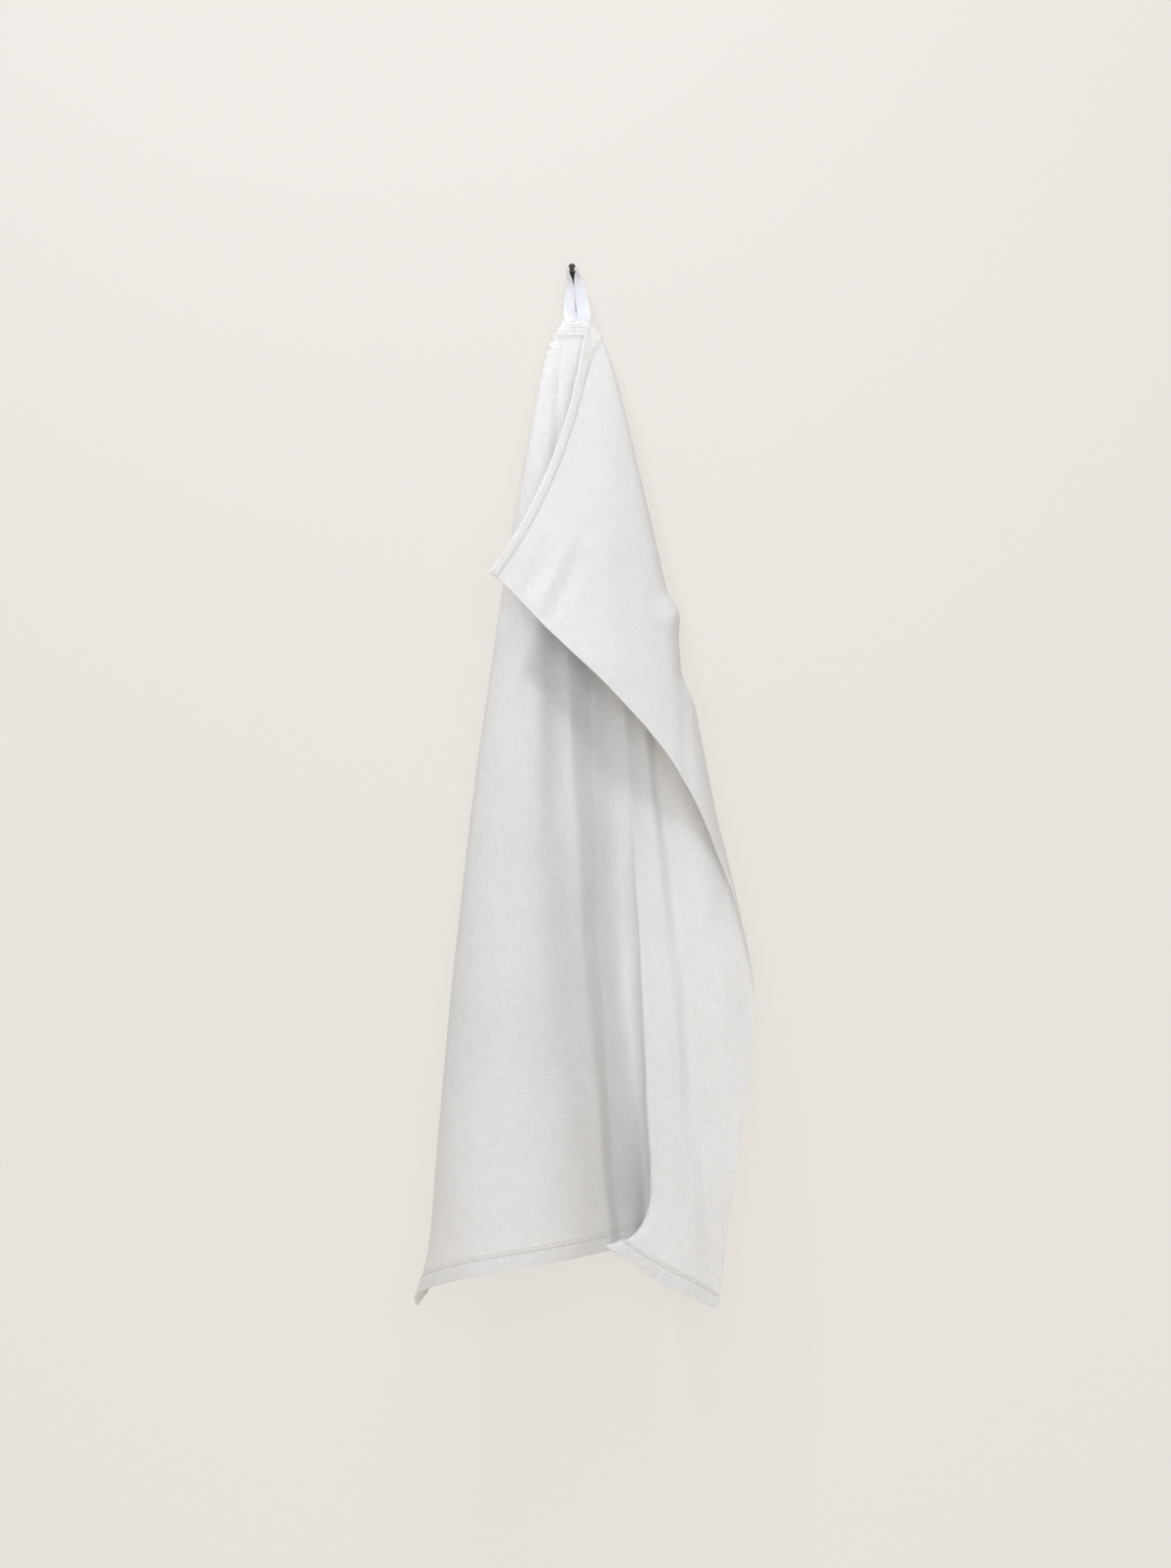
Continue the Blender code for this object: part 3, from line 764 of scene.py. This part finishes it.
def stitch_tubes(cloth, line, first, last, side, sizes, draw):
    """Stitches along a hem as short round threads that dip into the cloth at both ends.

    Returns the points, by stitch, ring and corner.
    """
    pitch = sizes.stitch_long + sizes.stitch_gap
    starts = first + pitch * np.arange(int((last - first) / pitch))
    starts = starts + pitch * STITCH_WANDER * draw.uniform(-1.0, 1.0, starts.size)
    share = np.linspace(0.0, 1.0, STITCH_RINGS)
    u = starts[:, None] + sizes.stitch_long * share
    v = line + STITCH_SLANT * draw.uniform(-1.0, 1.0, starts.size)[:, None] * (share - 0.5)
    lift = np.sin(math.pi * share)[None, :, None]
    low = cloth.surface(u, v, side, -STITCH_SUNK * sizes.stitch_thick)
    out = cloth.surface(u, v, side, SLOPE_STEP) - low
    out /= np.linalg.norm(out, axis=-1, keepdims=True)
    path = low + out * lift * STITCH_RISE * sizes.stitch_thick
    along = np.gradient(path, axis=1)
    along /= np.linalg.norm(along, axis=-1, keepdims=True)
    beside = np.cross(along, out)
    radius = sizes.stitch_thick / 2.0 * (STITCH_END + (1.0 - STITCH_END) * lift)
    turn = 2.0 * math.pi * np.arange(STITCH_SIDES) / STITCH_SIDES
    round_off = beside[:, :, None] * np.cos(turn)[:, None] + out[:, :, None] * np.sin(turn)[:, None]
    return path[:, :, None] + radius[:, :, None] * round_off


def stitches_piece(name, cloth, rows, material, sizes):
    """One joined piece of stitches; each row is (line, first u, last u, side)."""
    draw = np.random.default_rng(STITCH_SEED)
    tubes = np.concatenate([stitch_tubes(cloth, *row, sizes, draw) for row in rows])
    count = len(tubes)
    index = np.arange(count * STITCH_RINGS * STITCH_SIDES)
    index = index.reshape(count, STITCH_RINGS, STITCH_SIDES)
    turned = np.roll(index, -1, axis=2)
    walls = np.stack((index[:, :-1], turned[:, :-1], turned[:, 1:], index[:, 1:]), axis=-1)
    faces = walls.reshape(-1, 4).tolist()
    faces += index[:, 0, ::-1].tolist()
    faces += index[:, -1].tolist()
    mesh = bpy.data.meshes.new(name)
    mesh.from_pydata(tubes.reshape(-1, 3).tolist(), [], faces)
    shape = bmesh.new()
    shape.from_mesh(mesh)
    bmesh.ops.recalc_face_normals(shape, faces=shape.faces)
    shape.to_mesh(mesh)
    shape.free()
    mesh.shade_smooth()
    return put_in_scene(name, mesh, material)


class TOWEL_OT_hang_linen(bpy.types.Operator):
    """Hang the linen sheet in its folds and sew its hems"""

    bl_idname = "towel.hang_linen"
    bl_label = "Hang Linen"

    def execute(self, context):
        sizes = context.scene.towel_sizes
        colours = context.scene.towel_colours
        cloth = HangingCloth(sizes)
        columns = places_along(sizes.width, SELVAGE_PLACES, SHEET_COLUMNS, COLUMN_CROWDING, True)
        rows = places_along(sizes.length, HEM_PLACES, SHEET_ROWS, ROW_CROWDING, False)
        u, v = np.meshgrid(columns, rows, indexing="ij")
        front = cloth.surface(u, v, 1.0)
        back = cloth.surface(u, v, -1.0)
        cut = np.stack((u, v, np.zeros_like(u)), axis=-1)
        linen = linen_washed_plain_weave(colours, sizes)
        sheet = put_in_scene("linen_sheet", sheet_mesh("linen_sheet", front, back, cut), linen)
        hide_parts("towel")
        thread = cotton_thread_spun(colours)
        low_line = sizes.length - STITCH_LINE
        hem_rows = [(line, STITCH_INSET, sizes.width - STITCH_INSET, side)
                    for line in (STITCH_LINE, low_line) for side in (1.0, -1.0)]
        hems = stitches_piece("hem_stitches", cloth, hem_rows, thread, sizes)
        middle = sizes.width / 2.0
        reach = LOOP_STITCH_REACH * HELD_HALF
        loop_rows = [(line, middle - reach, middle + reach, side)
                     for line in LOOP_STITCH_LINES for side in (1.0, -1.0)]
        loops = stitches_piece("loop_stitches", cloth, loop_rows, thread, sizes)
        return {"FINISHED"}


class TOWEL_OT_loop_tape(bpy.types.Operator):
    """Lay the cotton tape over the peg as the hanging loop"""

    bl_idname = "towel.loop_tape"
    bl_label = "Loop Tape"

    def execute(self, context):
        sizes = context.scene.towel_sizes
        sections = np.array([section[1:] for section in TAPE_SECTIONS])
        gaps = np.linalg.norm(np.diff(sections[:, 0:3], axis=0), axis=1)
        along = np.concatenate(([0.0], np.cumsum(gaps)))
        at = np.linspace(0.0, along[-1], TAPE_STEPS + 1)
        path = spline(along, sections, at)
        turn = np.radians(path[:, 3])
        wide = np.stack((np.cos(turn), -np.sin(turn), np.zeros_like(turn)), axis=-1)
        middle = path[:, 0:3] + np.array((0.0, 0.0, PEG_Z))
        ahead = np.gradient(middle, axis=0)
        normal = np.cross(ahead, wide)
        normal /= np.linalg.norm(normal, axis=-1, keepdims=True)
        share = np.linspace(-1.0, 1.0, TAPE_COLUMNS + 1)
        edge = 1.0 - TAPE_EDGE_THINNING * np.abs(share) ** TAPE_EDGE_POWER
        offset = share[:, None, None] * wide[None] * sizes.tape_wide / 2.0
        lift = normal[None] * (edge * sizes.tape_thick / 2.0)[:, None, None]
        face = middle[None] + offset
        u, v = np.meshgrid(share * sizes.tape_wide / 2.0, at, indexing="ij")
        cut = np.stack((u, v, np.zeros_like(u)), axis=-1)
        mesh = sheet_mesh("tape_loop", face - lift, face + lift, cut)
        tape = put_in_scene("tape_loop", mesh, cotton_tape_woven(context.scene.towel_colours))
        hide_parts("hanging_loop")
        return {"FINISHED"}


class TOWEL_OT_paint_hook(bpy.types.Operator):
    """Give the iron hook its paint"""

    bl_idname = "towel.paint_hook"
    bl_label = "Paint Hook"

    def execute(self, context):
        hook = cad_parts["hook"]
        paint = iron_painted_satin(context.scene.towel_colours)
        hook.data.materials.clear()
        hook.data.materials.append(paint)
        return {"FINISHED"}


def flat_quad(name, corners, material):
    """A staged rectangle."""
    mesh = bpy.data.meshes.new(name)
    mesh.from_pydata(corners, [], [(0, 1, 2, 3)])
    mesh.materials.append(material)
    quad = bpy.data.objects.new(name, mesh)
    bpy.context.scene.collection.objects.link(quad)
    return quad


def soft_light(name, colours, place, target, size, watts):
    """A square area light aimed at a point."""
    light = bpy.data.lights.new(name, "AREA")
    light.shape = "SQUARE"
    light.size = size
    light.color = linear(colours.light)[:3]
    light.energy = watts
    lamp = bpy.data.objects.new(name, light)
    lamp.location = place
    lamp.rotation_mode = "QUATERNION"
    lamp.rotation_quaternion = (Vector(target) - Vector(place)).to_track_quat("-Z", "Y")
    bpy.context.scene.collection.objects.link(lamp)
    return lamp


def room_light(colours, light):
    """Even light all round, brighter and cooler from above than from below."""
    world = bpy.data.worlds.new("room_light")
    world.use_nodes = True
    tree = world.node_tree
    heading = add_node(tree, "ShaderNodeTexCoord")
    parts = add_node(tree, "ShaderNodeSeparateXYZ", {"Vector": heading.outputs["Generated"]})
    high = add_node(tree, "ShaderNodeMapRange",
                    {"Value": parts.outputs["Z"], "From Min": -1.0, "From Max": 1.0,
                     "To Min": 0.0, "To Max": 1.0}).outputs["Result"]
    colour = blend_colours(tree, high, linear(colours.sky_low), linear(colours.sky_high))
    strength = scaled(tree, parts.outputs["Z"], light.room * light.room_lift, light.room)
    background = tree.nodes["Background"]
    tree.links.new(colour, background.inputs["Color"])
    tree.links.new(strength, background.inputs["Strength"])
    return world


class TOWEL_OT_set_stage(bpy.types.Operator):
    """Set the pale wall and floor, the soft studio light and the camera"""

    bl_idname = "towel.set_stage"
    bl_label = "Set Stage"

    def execute(self, context):
        scene = context.scene
        light = scene.towel_light
        colours = scene.towel_colours
        side = WALL_HALF_WIDE
        wall = ((-side, WALL_Y, FLOOR_Z), (side, WALL_Y, FLOOR_Z), (side, WALL_Y, WALL_TOP),
                (-side, WALL_Y, WALL_TOP))
        flat_quad("stage_wall", wall, plaster_painted_matte(colours, light.wall_glow))
        floor = ((-side, -FLOOR_DEEP, FLOOR_Z), (side, -FLOOR_DEEP, FLOOR_Z),
                 (side, side, FLOOR_Z), (-side, side, FLOOR_Z))
        flat_quad("stage_floor", floor, screed_sealed_pale(colours))
        target = (CAMERA_X, 0.0, CAMERA_Z)
        soft_light("key_light", colours, light.key_place, target, light.key_size, light.key_watts)
        soft_light("top_light", colours, light.top_place, target, light.top_size, light.top_watts)
        soft_light("front_light", colours, light.front_place, target, light.front_size, light.front_watts)
        scene.world = room_light(colours, light)
        scene.view_settings.view_transform = "Standard"
        lens = bpy.data.cameras.new("camera")
        lens.lens = lens.sensor_width / 2.0 / (VIEW_HIGH / 2.0 / VIEW_DISTANCE)
        camera = bpy.data.objects.new("camera", lens)
        camera.location = (CAMERA_X, CAMERA_Y, CAMERA_Z)
        camera.rotation_euler = (math.radians(90.0), 0.0, 0.0)
        scene.collection.objects.link(camera)
        scene.camera = camera
        return {"FINISHED"}


class TOWEL_PT_panel(bpy.types.Panel):
    """Lists the towel's sizes, colours, light and steps"""

    bl_idname = "TOWEL_PT_panel"
    bl_label = "Towel on a Hook"
    bl_space_type = "VIEW_3D"
    bl_region_type = "UI"
    bl_category = "Towel"

    def draw(self, context):
        layout = self.layout
        for group in (context.scene.towel_sizes, context.scene.towel_colours,
                      context.scene.towel_light):
            box = layout.box()
            for name in type(group).__annotations__:
                box.prop(group, name)
        for step in STEPS:
            layout.operator(step.bl_idname)


STEPS = (TOWEL_OT_hang_linen, TOWEL_OT_loop_tape, TOWEL_OT_paint_hook, TOWEL_OT_set_stage)
CLASSES = (TowelSizes, TowelColours, TowelLight, *STEPS, TOWEL_PT_panel)


def register():
    for made in CLASSES:
        bpy.utils.register_class(made)
    bpy.types.Scene.towel_sizes = PointerProperty(type=TowelSizes)
    bpy.types.Scene.towel_colours = PointerProperty(type=TowelColours)
    bpy.types.Scene.towel_light = PointerProperty(type=TowelLight)


def unregister():
    del bpy.types.Scene.towel_light
    del bpy.types.Scene.towel_colours
    del bpy.types.Scene.towel_sizes
    for made in reversed(CLASSES):
        bpy.utils.unregister_class(made)


def main():
    register()
    bpy.ops.towel.hang_linen()
    bpy.ops.towel.loop_tape()
    bpy.ops.towel.paint_hook()
    bpy.ops.towel.set_stage()


if __name__ == "__main__":
    main()
